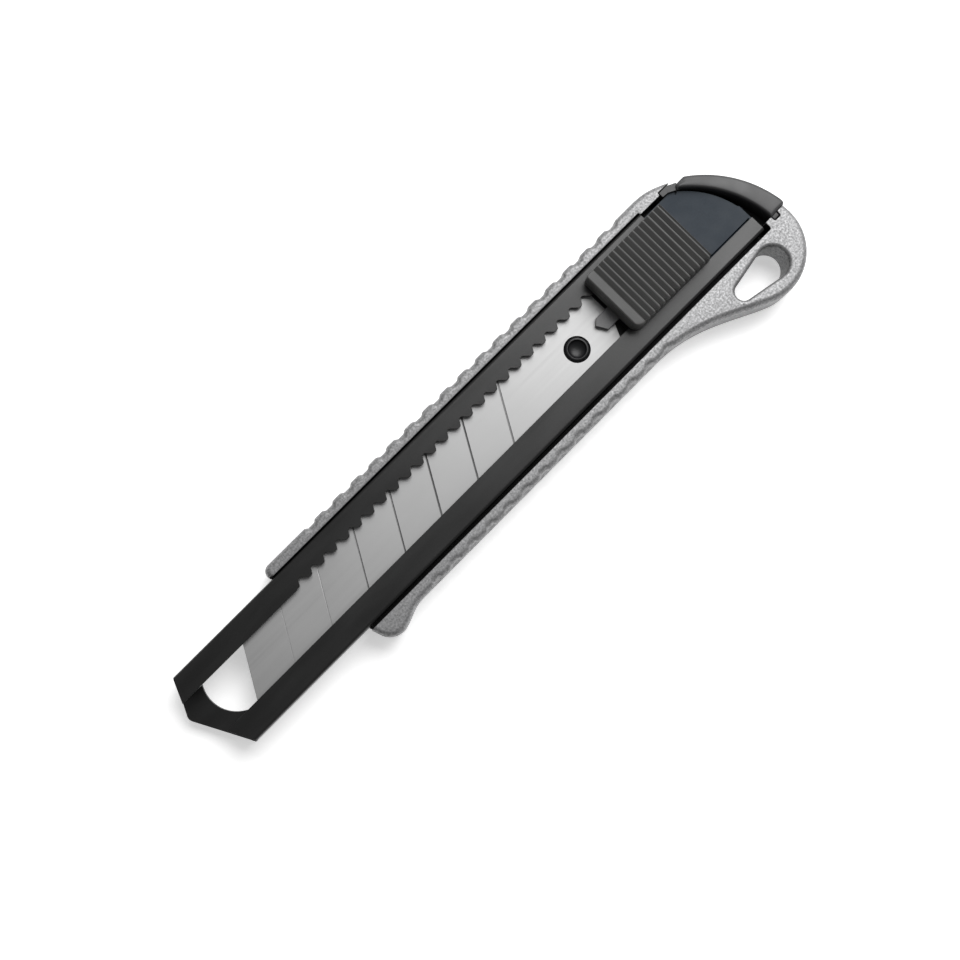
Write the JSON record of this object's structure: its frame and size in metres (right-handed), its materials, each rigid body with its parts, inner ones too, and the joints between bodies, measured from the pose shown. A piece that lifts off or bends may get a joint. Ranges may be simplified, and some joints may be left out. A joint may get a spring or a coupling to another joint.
{
  "type": "utility knife",
  "caption": "Auto-lock cutter with a die-cast handle, a ratcheted blade channel and a snap-off blade that slides out with a ribbed thumb button.",
  "frame": {"origin": "on the flat back of the knife, under the middle line of the blade channel, about 73 mm behind the channel's front end", "axes": "+X along the knife towards the lanyard end, +Y across it towards the ratchet lip, +Z out of the front where the thumb button is"},
  "size_m": [0.1548, 0.0346, 0.0126],
  "materials": {
    "handle_body": "fine hammertone silver paint on die-cast metal",
    "blade_channel": "satin black coated sheet steel",
    "channel_rivets": "dull zinc plate",
    "blade": "fine ground satin steel",
    "blade_carriage": "satin slate-blue moulding",
    "blade_peg": "satin black",
    "blade_keeper": "blackened spring steel",
    "thumb_button": "moulded matte plastic",
    "button_foot": "moulded matte plastic",
    "lock_pawl": "hardened steel",
    "pawl_pin": "ground steel",
    "lock_spring": "spring wire",
    "end_cap": "satin moulded plastic"
  },
  "bodies": {
    "handle": {"handle_body": "handle_body", "blade_channel": "blade_channel", "channel_rivets": "channel_rivets"},
    "carriage": {"blade_carriage": "blade_carriage", "blade": "blade", "blade_peg": "blade_peg", "blade_keeper": "blade_keeper", "pawl_pin": "pawl_pin", "lock_spring": "lock_spring"},
    "button": {"thumb_button": "thumb_button", "button_foot": "button_foot"},
    "pawl": {"lock_pawl": "lock_pawl"},
    "cap": {"end_cap": "end_cap"}
  },
  "joints": [
    {"name": "blade_slide", "type": "slide", "parent": "handle", "child": "carriage", "axis": [-1, 0, 0], "range_m": [0, 0.08112]},
    {"name": "button_shift", "type": "slide", "parent": "carriage", "child": "button", "axis": [1, 0, 0], "range_m": [0, 0.0012], "stiffness_N_per_m": 300, "deforming": ["lock_spring"]},
    {"name": "pawl_swing", "type": "hinge", "parent": "carriage", "child": "pawl", "pos_m": [0.0585, 0.0029, 0.007], "axis": [0, 0, -1], "range_deg": [0, 5.8]},
    {"name": "cap_lift", "type": "slide", "parent": "handle", "child": "cap", "axis": [0, 0, 1], "range_m": [0, 0.012]}
  ],
  "couplings": [
    {"joint": "pawl_swing", "follows": "button_shift", "rad_per_m": 84.3}
  ]
}
